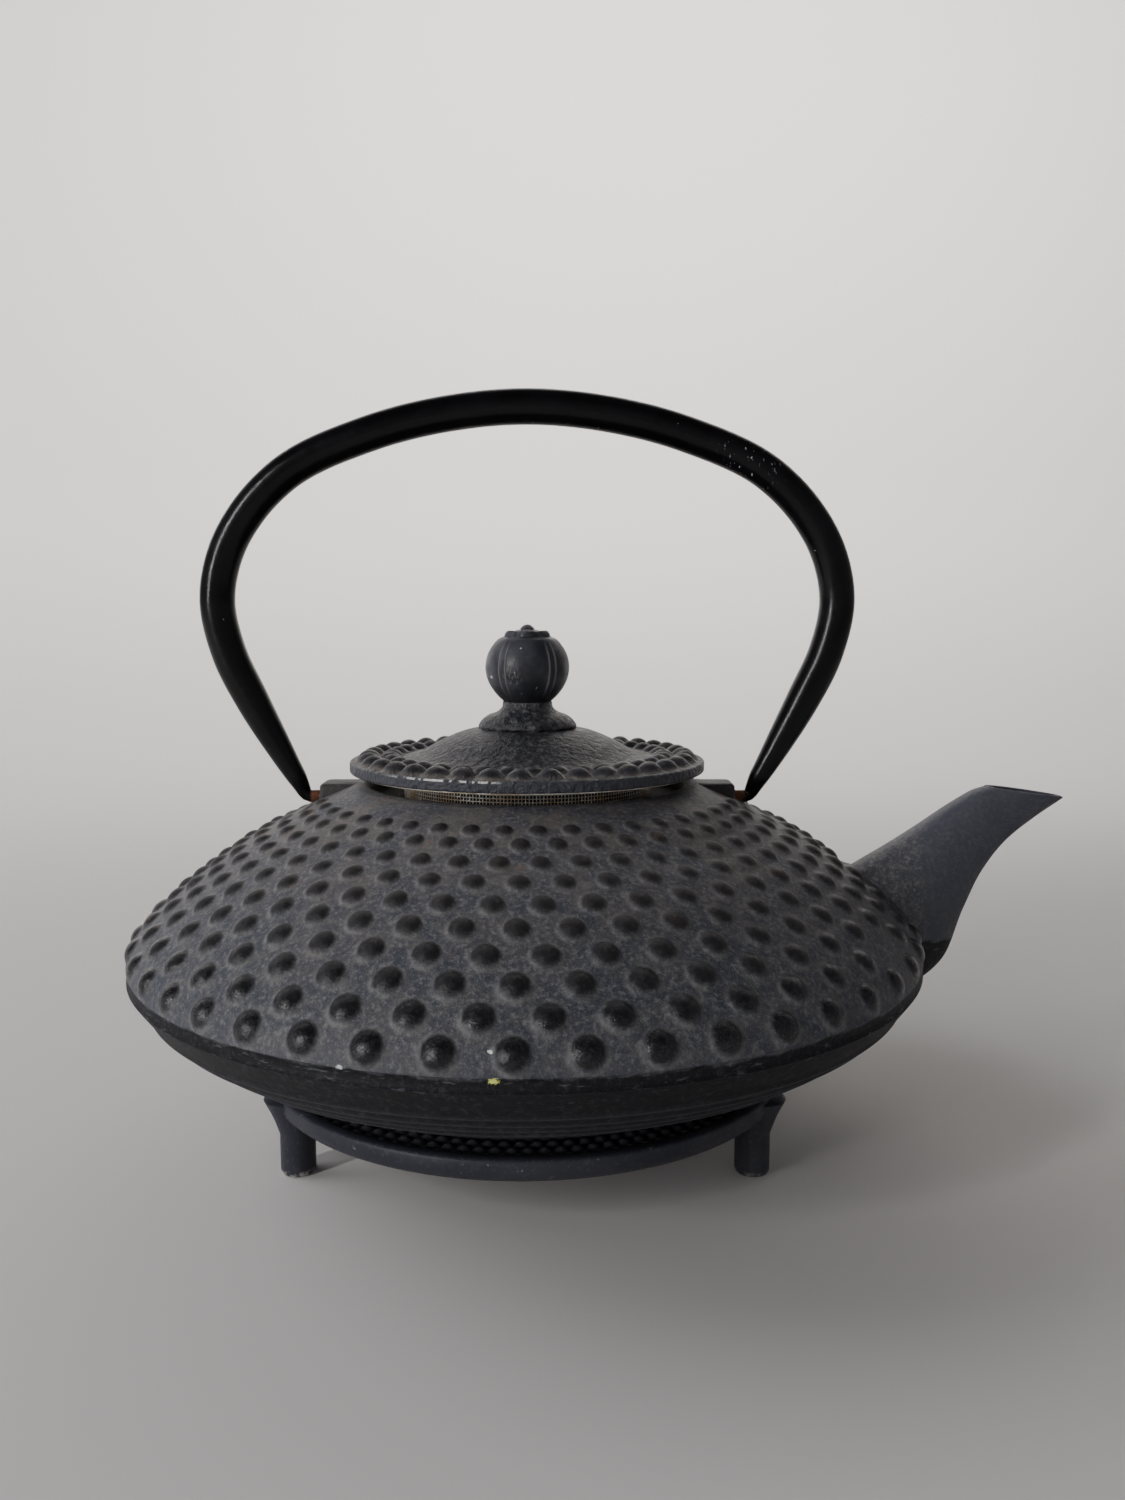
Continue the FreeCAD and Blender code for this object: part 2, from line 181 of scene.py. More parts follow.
# -------------------- curves and meshes

def curve_through(points, count, start_tangent=None, end_tangent=None):
    """Points evenly spaced by length along a smooth curve through the given points."""
    p = np.array(points, float)
    step = np.sqrt((np.diff(p, axis=0) ** 2).sum(1))
    t = lengths(p)
    slope = np.diff(p, axis=0) / step[:, None]
    m = np.empty_like(p)
    before, after = step[:-1, None], step[1:, None]
    m[1:-1] = (slope[:-1] * after + slope[1:] * before) / (before + after)
    m[0] = slope[0] if start_tangent is None else start_tangent
    m[-1] = slope[-1] if end_tangent is None else end_tangent
    dense = np.linspace(0, t[-1], 1 + 60 * len(p))
    i = np.clip(np.searchsorted(t, dense, side="right") - 1, 0, len(p) - 2)
    u = ((dense - t[i]) / step[i])[:, None]
    h = step[i][:, None]
    fine = ((1 + 2 * u) * (1 - u) ** 2 * p[i] + u * (1 - u) ** 2 * h * m[i]
            + u * u * (3 - 2 * u) * p[i + 1] + u * u * (u - 1) * h * m[i + 1])
    return evenly(fine, count)


def lengths(points):
    """Distance along a path at each of its points."""
    p = np.array(points, float)
    return np.concatenate([[0], np.cumsum(np.sqrt((np.diff(p, axis=0) ** 2).sum(1)))])


def evenly(points, count):
    """The same path with evenly spaced points."""
    p = np.array(points, float)
    along = lengths(p)
    at = np.linspace(0, along[-1], count)
    return np.stack([np.interp(at, along, column) for column in p.T], 1)


def join(*paths):
    """One path from several, without the doubled points where they meet."""
    out = [np.array(paths[0], float)]
    for path in paths[1:]:
        path = np.array(path, float)
        same = np.abs(path[0] - out[-1][-1]).max() < 1e-7
        out.append(path[1:] if same else path)
    return np.concatenate(out)


def arc(r, z, radius, start, end, count):
    """Points round a centre, by angles in degrees."""
    angles = np.radians(np.linspace(start, end, count))
    return np.stack([r + radius * np.cos(angles), z + radius * np.sin(angles)], 1)


def steps_from(r, z, *steps):
    """Points at some steps, in mm, from a place."""
    return [(r + dr * MM, z + dz * MM) for dr, dz in steps]


def xyz(x, y, z):
    """Points from coordinates, each an array or one number."""
    return np.stack(np.broadcast_arrays(x, y, z), -1)


def normals_2d(profile):
    """Unit normals of an (r, z) path, to the left of its direction."""
    along = np.gradient(profile, axis=0)
    along /= np.maximum(np.sqrt((along ** 2).sum(1)), 1e-12)[:, None]
    return np.stack([-along[:, 1], along[:, 0]], 1)


def new_object(name, data):
    obj = bpy.data.objects.new(name, data)
    bpy.context.scene.collection.objects.link(obj)
    return obj


def bell(gap, width):
    """1 at no gap, falling smoothly to 0 over about twice a width."""
    return np.exp(-(gap / width) ** 2)


def make_object(name, verts, faces, sharp=None):
    """Mesh object with outward faces, smooth but for creases above an angle in degrees."""
    mesh = bpy.data.meshes.new(name)
    mesh.from_pydata(np.asarray(verts, float).tolist(), [], faces)
    solid = bmesh.new()
    solid.from_mesh(mesh)
    if solid.calc_volume(signed=True) < 0:
        mesh.flip_normals()
    solid.free()
    obj = new_object(name, mesh)
    finish_shading(obj, sharp)
    return obj


def finish_shading(obj, sharp):
    obj.data.shade_smooth()
    if sharp:
        obj.data.set_sharp_from_angle(angle=radians(sharp))


def round_axis(obj):
    """Radius, angle and height of each vertex."""
    co = np.empty(len(obj.data.vertices) * 3, np.float32)
    obj.data.vertices.foreach_get("co", co)
    x, y, z = co.reshape(-1, 3).astype(float).T
    return np.hypot(x, y), np.arctan2(y, x), z


def ring_faces(rows, columns, closed_rows=False):
    """Quads of a grid that wraps round its columns."""
    faces = []
    for i in range(rows if closed_rows else rows - 1):
        a, b = i * columns, ((i + 1) % rows) * columns
        for j in range(columns):
            k = (j + 1) % columns
            faces.append((a + j, a + k, b + k, b + j))
    return faces


def revolve(name, profile, columns, fields=(), sharp=None):
    """Closed body round the upright axis, from a profile with the outside on its left.

    The profile closes on itself or has both ends on the axis. fields holds distances outwards, each
    grid with the row where it starts.
    """
    profile = np.array(profile, float)
    angle = full_turn(columns)
    lift = np.zeros((len(profile), columns))
    for start, field in fields:
        lift[start:start + len(field)] += field
    normal = normals_2d(profile)
    r = profile[:, :1] + normal[:, :1] * lift
    z = profile[:, 1:] + normal[:, 1:] * lift
    grid = xyz(r * np.cos(angle), r * np.sin(angle), z)
    on_axis = profile[0, 0] < 1e-9 and profile[-1, 0] < 1e-9
    inner = grid[1:-1] if on_axis else grid
    rows = len(inner)
    verts = inner.reshape(-1, 3)
    faces = ring_faces(rows, columns, closed_rows=not on_axis)
    if on_axis:
        verts = np.concatenate([verts, [grid[0].mean(0), grid[-1].mean(0)]])
        last = (rows - 1) * columns
        for j in range(columns):
            k = (j + 1) % columns
            faces.append((k, j, rows * columns))
            faces.append((last + j, last + k, rows * columns + 1))
    return make_object(name, verts, faces, sharp)


def full_turn(count):
    """Evenly spaced angles once round."""
    return np.arange(count) * TURN / count


def loft(name, rings, sharp=None):
    """Closed body through rings of equal point counts, with flat ends."""
    rings = np.array(rings, float)
    rows, columns = rings.shape[:2]
    faces = ring_faces(rows, columns)
    faces.append(tuple(range(columns))[::-1])
    faces.append(tuple(range((rows - 1) * columns, rows * columns)))
    return make_object(name, rings.reshape(-1, 3), faces, sharp)


def combine(base, operation, *tools):
    """Boolean of base with each tool in turn; the tools are used up."""
    for tool in tools:
        step = base.modifiers.new("join", "BOOLEAN")
        step.operation = operation
        step.object = tool
        step.solver = "MANIFOLD"
        evaluated = base.evaluated_get(bpy.context.evaluated_depsgraph_get())
        mesh = bpy.data.meshes.new_from_object(evaluated)
        base.modifiers.clear()
        base.data = mesh
        bpy.data.objects.remove(tool)
    return base


def paint(obj, name, values):
    """Stores a number per vertex for the materials."""
    layer = obj.data.attributes.new(name, "FLOAT", "POINT")
    layer.data.foreach_set("value", np.asarray(values, np.float32))


def settle(obj, nodes, body, material):
    """Gives a piece its material, its body and the CAD nodes it stands for."""
    obj.data.materials.clear()
    obj.data.materials.append(material)
    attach(obj, body)
    if nodes:
        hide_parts(*nodes)
    return obj


# -------------------- hobnails

def bump_shape(distance):
    """Height of a hobnail at a share of its radius: a full dome with a soft foot."""
    soft = 0.11
    fullness = 0.74
    return (soft * np.log1p(np.exp(np.clip((1 - distance ** 2) / soft, -30, 30)))) ** fullness


def staggered(outline, radii, counts, sizes, heights, start):
    """Rows of hobnails at radii of an outline, every other row half a pitch on."""
    along = lengths(outline)
    rows = []
    for k, (r, count, size, height) in enumerate(zip(radii, counts, sizes, heights)):
        place = float(np.interp(r, outline[:, 0], along))
        first = start + (pi / count if k % 2 else 0.0)
        rows.append(Row(place, r, first, count, size, height, np.ones(count)))
    return rows


def bump_distance(s, angle, row):
    """Distance to the nearest hobnail of a row, in hobnail radii, and which one it is."""
    pitch = TURN / row.count
    index = np.round((angle - row.first) / pitch)
    across = (angle - row.first - index * pitch) * row.radius
    return np.sqrt((s - row.arc) ** 2 + across ** 2) / (row.size / 2), index.astype(int) % row.count


def bump_field(outline, angle, rows):
    """Height of the hobnails at each point of an outline and each angle."""
    s = lengths(outline)[:, None]
    total = np.zeros((len(outline), len(angle)))
    for row in rows:
        distance, index = bump_distance(s, angle[None, :], row)
        total = np.maximum(total, row.height * bump_shape(distance) * row.keep[index])
    return total


def paint_bumps(obj, outline, rows):
    """Marks each hobnail's dark worn cap, set uphill of its middle as painted shade on its upper side, and
    the dusty ring at its foot.
    """
    r, angle, z = round_axis(obj)
    along = lengths(outline)
    radii, heights = outline.T
    proud = z - np.interp(r, radii, heights)
    s = np.interp(r, radii, along) + proud * np.interp(r, radii, np.gradient(heights, along))
    near = (proud > -0.4 * MM) & (proud < PROUD_LIMIT) & (r > radii[0] - MM) & (r < radii[-1] + MM)
    hob = np.zeros(len(r))
    ring = np.zeros(len(r))
    for row in rows:
        distance, index = bump_distance(s, angle, row)
        held = near & (row.keep[index] > 0)
        ring = np.maximum(ring, held * bell(distance - RING_AT, RING_WIDTH))
        # painted shade: the dark cap is moved uphill, leaving the hobnail's lower side light
        worn_shaded_gap, index = bump_distance(s + CAP_SHADE_SHIFT * row.size, angle, row)
        hob = np.maximum(hob, held * np.clip((CAP_EDGE - worn_shaded_gap) / CAP_BLUR, 0, 1))
    paint(obj, "hob", hob)
    paint(obj, "ring", ring * (1 - hob))


# -------------------- pot

def pot_skin():
    """The pot's outer skin: mouth rim, shoulder, belly edge, underside and base."""
    neck = R * SHOULDER[0][0]
    top = R * MOUTH_Z
    rim = steps_from(R * MOUTH_R, top, (0.1, -0.35), (0.5, 0)) + [(neck - 0.8 * MM, top)]
    shoulder = curve_through(R * np.array(SHOULDER), 150)
    shoulder[0] = (neck - 0.25 * MM, top - 0.2 * MM)
    belly = [(R - inwards * MM, R * z) for inwards, z in
             ((0, 0.508), (0.35, 0.504), (0.55, 0.498), (0.55, 0.486), (0.2, 0.48), (0, 0.478))]
    under = curve_through(R * np.array(UNDERSIDE), 160)
    plain = np.nonzero(under[:, 0] < 0.82 * R)[0][:-1]
    under = np.delete(under, plain[np.arange(len(plain)) % 5 > 0], axis=0)
    foot = steps_from(BASE_R, BASE_Z, (1.4, 1.2), (0.4, 0.25), (-0.6, 0), (-3.0, 0), (-4.0, 0.9), (-12, 1.1))
    base = [under[-1], *foot, (0, BASE_Z + 1.1 * MM)]
    return rim, shoulder, evenly(belly, 12), under, base


def inset_skin(distance, count):
    """The pot's outline moved inwards, from mouth to base."""
    outline = curve_through(R * np.array(SHOULDER + UNDERSIDE), 60)
    return evenly(outline - normals_2d(outline) * distance, count)


def inner_profile():
    """The inside of the pot, up past the ledge to the mouth's upright rim."""
    floor_z = BASE_Z + 3.6 * MM
    skin = inset_skin(WALL, 46)
    skin = skin[skin[:, 1] < LEDGE_LOW]
    ledge = [(LEDGE_HOLE_R, LEDGE_LOW), (LEDGE_HOLE_R, LEDGE_TOP), (R * MOUTH_R, LEDGE_TOP)]
    return join([(0, floor_z), (BASE_R * 0.5, floor_z), (BASE_R - WALL, floor_z)], skin[::-1], ledge)


def spout_rings(wall_root, wall_lip, stations, last=1.0):
    """Rings across the spout: flat-sided, with a narrower underside."""
    squareness = 0.8
    narrowing = 0.16
    angle = TURN * (np.arange(72) + 0.5) / 72
    rise = np.cos(angle)
    side = np.sign(np.sin(angle)) * np.abs(np.sin(angle)) ** squareness * (1 - narrowing * (1 - rise))
    path = curve_through(R * np.array([(*upper, *lower, width) for upper, lower, width in SPOUT]), 400)
    rings = []
    for share in np.linspace(0, last, stations):
        x1, z1, x2, z2, width = (np.interp(share, np.linspace(0, 1, 400), column) for column in path.T)
        wall = wall_root + (wall_lip - wall_root) * share
        upper = np.array([x1, 0, z1])
        lower = np.array([x2, 0, z2])
        height = np.linalg.norm(upper - lower)
        ring = (upper + lower) / 2 + np.outer(rise * (height / 2 - wall), (upper - lower) / height)
        ring[:, 1] += side * (width - wall)
        rings.append(ring)
    return rings


def spout_tube():
    """Thin-walled spout: outer skin, rounded lip and channel."""
    outer = spout_rings(0, 0, 90)
    inner = spout_rings(SPOUT_WALL_ROOT, SPOUT_WALL_LIP, 60)
    lip = []
    for share, height in ((0.12, 0.6), (0.35, 1.0), (0.65, 1.0), (0.88, 0.6)):
        lip.append(outer[-1] * (1 - share) + inner[-1] * share + np.array([0, 0, 0.35 * MM * height]))
    rings = np.array(outer + lip + inner[::-1])
    faces = ring_faces(len(rings), rings.shape[1], closed_rows=True)
    return make_object("spout_tube", rings.reshape(-1, 3), faces)


def lug(side):
    """Square-topped lug with rounded edges, sunk into the shoulder."""
    corner = 1.1 * MM
    front = arc(LUG_END - corner, LUG_HALF - corner, corner, 0, 90, 7)
    back = arc(LUG_END - corner, corner - LUG_HALF, corner, -90, 0, 7)
    outline = join(front, [(LUG_START, LUG_HALF), (LUG_START, -LUG_HALF)], back)
    rounding = 0.9 * MM
    levels = [(0.83 * R, 0.35 * MM), (LUG_TOP - 2.6 * MM, 0.1 * MM)]
    for turn in np.radians((0, 20, 40, 60, 80)):
        levels.append((LUG_TOP - rounding + rounding * sin(turn), -rounding * (1 - cos(turn))))
    rings = []
    for z, grow in levels:
        x, y = outline.T
        rings.append(xyz(side * (x + np.where(x > LUG_START, grow, 0)), y + np.sign(y) * grow, z))
    return loft("lug", rings)


def bore(side):
    """Hole for the bail's end."""
    turn = full_turn(40)
    rings = []
    for x in (LUG_END - PIN_DEPTH - 0.3 * MM, 0.62 * R):
        rings.append(xyz(side * x, BORE_R * np.cos(turn), HINGE_Z + BORE_R * np.sin(turn)))
    return loft("bore", rings)


def pot_rows(shoulder, spout_tree):
    """Rows of hobnails down the shoulder, left out where the spout, lugs and hooks are."""
    count = len(POT_ROWS)
    sizes = np.linspace(0.04, 0.067, count) * R
    heights = np.linspace(0.85, 1.35, count) * MM
    rows = staggered(shoulder, R * np.array(POT_ROWS), [POT_BUMPS] * count, sizes, heights,
                     FRONT + pi / POT_BUMPS)
    for row in rows:
        z = float(np.interp(row.radius, shoulder[:, 0], shoulder[:, 1]))
        for i in range(row.count):
            angle = row.first + TURN * i / row.count
            x, y = row.radius * cos(angle), row.radius * sin(angle)
            if abs(y) < LUG_CLEAR and row.radius < 0.6 * R:
                row.keep[i] = 0.0
            elif abs(y) < HOOK_CLEAR and row.radius < 0.66 * R:
                row.keep[i] = 0.3 if row.radius < 0.6 * R else 0.6
            elif x > 0.7 * R and buried(spout_tree, Vector((x, y, z))) < SPOUT_CLEAR:
                row.keep[i] = 0.0
    return rows


def buried(tree, point):
    """Distance of a point outside a closed body, or 0 inside it."""
    spot, normal, _, gap = tree.find_nearest(point)
    return 0.0 if (point - spot).dot(normal) < 0 else gap


def pot_shell(spout_tree, rows):
    """Outer skin, base and inner skin as one closed body."""
    columns = POT_BUMPS * 20
    angle = full_turn(columns)
    rim, shoulder, belly, under, base = pot_skin()
    inner = inner_profile()
    profile = join(inner, rim, shoulder, belly, under, base)
    first = len(inner) + len(rim)
    start = first + len(shoulder) + len(belly) - 1
    end = start + len(under)
    radius = profile[start:end, :1]
    fields = [(first, bump_field(shoulder, angle, rows))]
    fields += [(start, RIDGE_HEIGHT * bell(radius - ridge * R, RIDGE_WIDTH)) for ridge in RIDGES]
    fields.append((first, spout_fillet(profile[first:end], angle, spout_tree)))
    return revolve("pot_body_visual", profile, columns, fields)


def paint_ridges(obj):
    """Marks the crests of the fine rings under the belly."""
    radius, _, z = round_axis(obj)
    crest = np.max([bell(radius - ridge * R, 0.4 * MM) for ridge in RIDGES], axis=0)
    outside = (z > 0.25 * R) & (z < 0.45 * R)
    paint(obj, "ridge", crest * outside)


def spout_fillet(profile, angle, spout_tree):
    """How far the skin rises softly where it meets the spout."""
    reach = 3.2 * MM
    lift = np.zeros((len(profile), len(angle)))
    facing = np.nonzero((np.abs(np.sin(angle)) < 0.26) & (np.cos(angle) > 0))[0]
    for i in np.nonzero(profile[:, 0] > 0.75 * R)[0]:
        r, z = profile[i]
        for j in facing:
            gap = buried(spout_tree, Vector((r * cos(angle[j]), r * sin(angle[j]), z)))
            if gap < reach:
                lift[i, j] = 0.3 * reach * (1 - gap / reach) ** 2
    return lift


def pot_body():
    """The whole casting: shell, spout and two lugs."""
    tube = spout_tube()
    solid_spout = loft("spout_solid", spout_rings(0, 0, 60))
    spout_tree = BVHTree.FromPolygons([v.co for v in solid_spout.data.vertices],
                                      [tuple(p.vertices) for p in solid_spout.data.polygons])
    bpy.data.objects.remove(solid_spout)
    shoulder = pot_skin()[1]
    rows = pot_rows(shoulder, spout_tree)
    shell = pot_shell(spout_tree, rows)
    half = WALL * 0.5
    skin = inset_skin(half, 60)
    floor_z = BASE_Z + half
    core = join([(0, floor_z), (BASE_R - half, floor_z)], skin[::-1], [(0, skin[0, 1])])
    middle = revolve("middle", core, 180)
    combine(tube, "DIFFERENCE", middle)
    channel = loft("channel", spout_rings(SPOUT_WALL_ROOT * 0.5, SPOUT_WALL_ROOT * 0.5, 30, last=0.55))
    combine(shell, "DIFFERENCE", channel)
    combine(shell, "UNION", tube, lug(1), lug(-1))
    combine(shell, "DIFFERENCE", bore(1), bore(-1))
    finish_shading(shell, 55)
    paint_bumps(shell, shoulder, rows)
    paint_ridges(shell)
    return settle(shell, ["pot_body"], "pot", pot_material())


# -------------------- lid and knob

def lid():
    """Lid: two rows of hobnails, dome, collar under the knob and skirt."""
    rim = LID_R - LID_CORNER
    edge_top = LID_BOTTOM + LID_EDGE
    skirt_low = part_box("lid")[0].z
    hollow_r = SKIRT_R - SKIRT_WALL
    collar = curve_through(R * np.array(COLLAR[::-1]), 34)
    dome = curve_through(np.concatenate([R * np.array(DOME[::-1]), [(rim, edge_top)]]), 82)
    edge = join(arc(rim, edge_top - LID_CORNER, LID_CORNER, 90, 0, 5),
                arc(rim, LID_BOTTOM + LID_CORNER, LID_CORNER, 0, -90, 5))
    under = [(SKIRT_R, LID_BOTTOM), (SKIRT_R, skirt_low + 0.5 * MM), (SKIRT_R - 0.5 * MM, skirt_low),
             (hollow_r, skirt_low), (hollow_r, LID_BOTTOM - 0.4 * MM), (0.55 * hollow_r, ROOF - 1.6 * MM),
             (6.2 * MM, ROOF), (RIVET_R, ROOF)]
    profile = join([(RIVET_R, collar[0, 1])], collar, dome, edge, under)
    columns = LID_BUMPS * 16
    angle = full_turn(columns)
    rows = staggered(dome, R * np.array(LID_ROWS), [LID_BUMPS] * 2, [0.056 * R, 0.062 * R],
                     [1.55 * MM, 1.85 * MM], FRONT + radians(4))
    fields = [(1, casting_nub(collar, angle)), (len(collar), bump_field(dome, angle, rows))]
    obj = revolve("lid_visual", profile, columns, fields, sharp=60)
    paint_bumps(obj, dome, rows)
    return settle(obj, ["lid"], "lid", lid_material())


def casting_nub(collar, angle):
    """Small lump left by the mould, at the collar's foot near the front."""
    turn = (angle - FRONT - radians(13) + pi) % (TURN) - pi
    across = turn * 0.12 * R / (0.9 * MM)
    up = (collar[:, 1] - 1.06 * R) / (1.4 * MM)
    return 0.7 * MM * np.exp(-across[None, :] ** 2 - up[:, None] ** 2)


def knob():
    """Ball with pairs of thin ribs, topped by a disc with a raised flower."""
    ball = curve_through(R * np.array(BALL), 70)[::-1]
    disc = np.stack([np.linspace(0, DISC_R - 0.15 * MM, 34), np.full(34, DISC_TOP)], 1)
    side = [(DISC_R, DISC_TOP - 0.15 * MM), (DISC_R, ball[0, 1] + 0.05 * MM)]
    hole = [(RIVET_R, ball[-1, 1]), (RIVET_R, RIVET_TOP + 0.5 * MM), (0, RIVET_TOP + 0.5 * MM)]
    profile = join(disc, side, ball, hole)
    columns = 360
    angle = full_turn(columns)
    fields = [(0, flower(disc[:, 0], angle)), (len(disc) + len(side), ribs(ball, angle))]
    obj = revolve("knob_visual", profile, columns, fields, sharp=50)
    paint_ribs(obj, ball)
    return settle(obj, ["knob"], "lid", knob_material())


def flower(radius, angle):
    """Height of the flower above its disc: dished petals round a button."""
    share = radius[:, None] / DISC_R
    lobe = np.abs(np.cos((angle[None, :] - KNOB_FRONT) * PETALS / 2)) ** 0.4
    edge = np.clip((0.9 + 0.085 * lobe - share) / 0.12, 0, 1)
    petal = (1.55 * MM - 0.35 * MM * share) * np.sqrt(edge * (2 - edge)) * (0.7 + 0.3 * lobe)
    dish = 0.5 * MM * lobe ** 2 * np.exp(-((share - 0.66) / 0.14) ** 2)
    button = (FLOWER_TOP - DISC_TOP) * bump_shape(share / 0.44)
    return np.maximum(np.maximum(petal - dish, button), 0)


def rib_gap(angle, radius):
    """Distance across the ball to the nearest rib; the ribs stand in pairs."""
    pitch = TURN / RIB_PAIRS
    turn = (angle - KNOB_FRONT) % pitch - pitch / 2
    return (np.abs(turn) - RIB_SPREAD) * radius


def rib_fade(ball, z):
    """1 along the middle of the ball, falling to 0 towards its ends."""
    share = np.clip((z - ball[-1, 1]) / (ball[0, 1] - ball[-1, 1]), 0, 1)
    return np.clip(np.sin(pi * share) * 1.8 - 0.25, 0, 1)


def ribs(ball, angle):
    """Height of the thin upright ribs."""
    gap = rib_gap(angle[None, :], ball[:, :1])
    return RIB_HEIGHT * bell(gap, RIB_WIDTH) * rib_fade(ball, ball[:, 1:])


def paint_ribs(obj, ball):
    radius, angle, z = round_axis(obj)
    held = radius > 0.5 * ball[:, 0].max()
    paint(obj, "rib", held * bell(rib_gap(angle, radius), 0.2 * MM) * rib_fade(ball, z))


# -------------------- handle

def tube_radius(z):
    """Full size over the top, swaged down towards the hook, then down to the pin."""
    if z > HOOK_TOP_Z:
        share = min(1.0, (z - HOOK_TOP_Z) / (TAPER_TOP_Z - HOOK_TOP_Z))
        return HOOK_TOP_R + (HANDLE_R - HOOK_TOP_R) * sin(share * pi / 2)
    share = max(0.0, (z - HINGE_Z) / (HOOK_TOP_Z - HINGE_Z))
    return PIN_R + (HOOK_TOP_R - PIN_R) * share


def handle():
    """The bail: one round tube bent over the pot, with thinned ends turned in to the lugs."""
    half = curve_through(R * np.array(BAIL), 150, start_tangent=(1, 0), end_tangent=(-1, 0))
    tip = LUG_END - PIN_DEPTH
    pin = np.stack([np.linspace(half[-1, 0], tip + 0.3 * MM, 8), np.full(8, HINGE_Z)], 1)
    right = join(half, pin, [(tip, HINGE_Z)])
    path = np.concatenate([right[::-1], right[1:] * (-1, 1)])
    along = np.gradient(path, axis=0)
    along /= np.sqrt((along ** 2).sum(1))[:, None]
    turn = full_turn(32)
    rings = []
    for i, (point, direction) in enumerate(zip(path, along)):
        radius = tube_radius(point[1]) if 0 < i < len(path) - 1 else PIN_R - 0.3 * MM
        x = point[0] - direction[1] * radius * np.cos(turn)
        z = point[1] + direction[0] * radius * np.cos(turn)
        rings.append(xyz(x, radius * np.sin(turn), z))
    obj = loft("handle_visual", rings, sharp=50)
    return settle(obj, ["handle"], "handle", handle_material())


# -------------------- strainer

def basket_radius(z):
    """Outer radius of the tapered basket at a height."""
    share = (z - BASKET_LOW) / (BASKET_HIGH - BASKET_LOW)
    return BASKET_BOTTOM_R + share * (BASKET_TOP_R - BASKET_BOTTOM_R)


def wires(name, runs, closed):
    """Thin four-sided wires along runs of (path, normal), capped where a path is open."""
    verts = []
    faces = []
    for path, normal in runs:
        along = np.roll(path, -1, 0) - np.roll(path, 1, 0) if closed else np.gradient(path, axis=0)
        side = np.cross(along, normal)
        side /= np.sqrt((side ** 2).sum(1))[:, None]
        rings = [path + WIRE_R * (normal * cos(a) + side * sin(a)) for a in full_turn(4)]
        rings = np.stack(rings, 1)
        first = sum(len(v) for v in verts)
        count = len(rings)
        verts.append(rings.reshape(-1, 3))
        faces += [tuple(first + v for v in face) for face in ring_faces(count, 4, closed_rows=closed)]
        if not closed:
            faces.append((first + 3, first + 2, first + 1, first))
            last = first + 4 * (count - 1)
            faces.append((last, last + 1, last + 2, last + 3))
    return make_object(name, np.concatenate(verts), faces)


def basket_wall(cloth):
    """Woven wall: uprights and rings that pass over and under each other."""
    uprights = 2 * round(pi * BASKET_TOP_R / WIRE_PITCH)
    low = BASKET_LOW + WIRE_R
    levels = round((BASKET_HIGH - 0.1 * MM - low) / WIRE_PITCH)
    step = (BASKET_HIGH - 0.1 * MM - low) / levels
    half_levels = np.arange(2 * levels + 1) / 2
    z = low + step * half_levels
    runs = []
    for i in range(uprights):
        angle = TURN * i / uprights
        wave = WEAVE * np.cos(pi * (half_levels + i))
        r = basket_radius(z) - SHEET / 2 + wave
        outward = np.array([cos(angle), sin(angle), 0])
        runs.append((xyz(r * outward[0], r * outward[1], z), outward))
    warp = wires("strainer_uprights", runs, closed=False)
    half_steps = np.arange(2 * uprights) / 2
    angle = TURN * half_steps / uprights
    outward = xyz(np.cos(angle), np.sin(angle), 0)
    runs = []
    for j in range(levels + 1):
        height = low + step * j
        r = basket_radius(height) - SHEET / 2 - WEAVE * np.cos(pi * (half_steps + j))
        runs.append((outward * r[:, None] + [0, 0, height], outward))
    weft = wires("strainer_rings", runs, closed=True)
    settle(warp, ["strainer_wall"], "strainer", cloth)
    settle(weft, [], "strainer", cloth)


def basket_base(cloth):
    """Woven floor of the basket."""
    reach = basket_radius(BASKET_LOW) - SHEET - WIRE_R
    middle = BASKET_LOW + SHEET / 2
    count = int(reach / WIRE_PITCH)
    up = np.array([0.0, 0.0, 1.0])
    runs = []
    for k in range(-count, count + 1):
        offset = k * WIRE_PITCH
        ends = sqrt(reach ** 2 - offset ** 2)
        steps = max(1, int(2 * ends / WIRE_PITCH))
        t = np.linspace(-ends, ends, 2 * steps + 1)
        wave = WEAVE * np.cos(pi * (t / WIRE_PITCH + k))
        runs.append((xyz(t, offset, middle + wave), up))
        runs.append((xyz(offset, t, middle - wave), up))
    obj = wires("strainer_floor", runs, closed=False)
    return settle(obj, ["strainer_base"], "strainer", cloth)


# -------------------- trivet

def trivet_rows():
    """Small hobnails over the trivet's floor, apart from the ring where the pot stands."""
    pitch = 2.75 * MM
    floor = np.array([(0.0, FLOOR_Z), (FLOOR_R, FLOOR_Z)])
    radii = [r for r in np.arange(FLOOR_R - 1.6 * MM, 2 * MM, -pitch)
             if r < BASE_R - 5.5 * MM or r > BASE_R + 2.2 * MM]
    counts = [round(TURN * r / (1.15 * pitch)) for r in radii]
    return staggered(floor, radii, counts, [2.55 * MM] * len(radii), [0.7 * MM] * len(radii), FRONT)


def trivet():
    """Shallow dish on three legs that flare into its rim."""
    inner = np.stack([np.linspace(0, FLOOR_R, 142), np.full(142, FLOOR_Z)], 1)
    rim = (steps_from(FLOOR_R, TRIVET_TOP, (0.5, -0.25), (0.9, 0))
           + steps_from(TRIVET_R, TRIVET_TOP, (-0.75, 0), (-0.2, -0.18), (0, -0.6), (-0.1, -2.4))
           + steps_from(TRIVET_R, TRIVET_BOTTOM, (-0.7, 0.8), (-1.5, 0)))
    profile = join(inner, rim, [(0.5 * TRIVET_R, TRIVET_BOTTOM), (0, TRIVET_BOTTOM)])
    columns = 720
    rows = trivet_rows()
    relief = bump_field(inner, full_turn(columns), rows)[1:]
    obj = revolve("trivet_visual", profile, columns, [(1, relief)])
    for i in range(LEG_COUNT):
        combine(obj, "UNION", trivet_leg(90 + 360 * i / LEG_COUNT))
    finish_shading(obj, 50)
    paint_bumps(obj, inner, rows)
    return settle(obj, ["trivet"], "trivet", trivet_material())


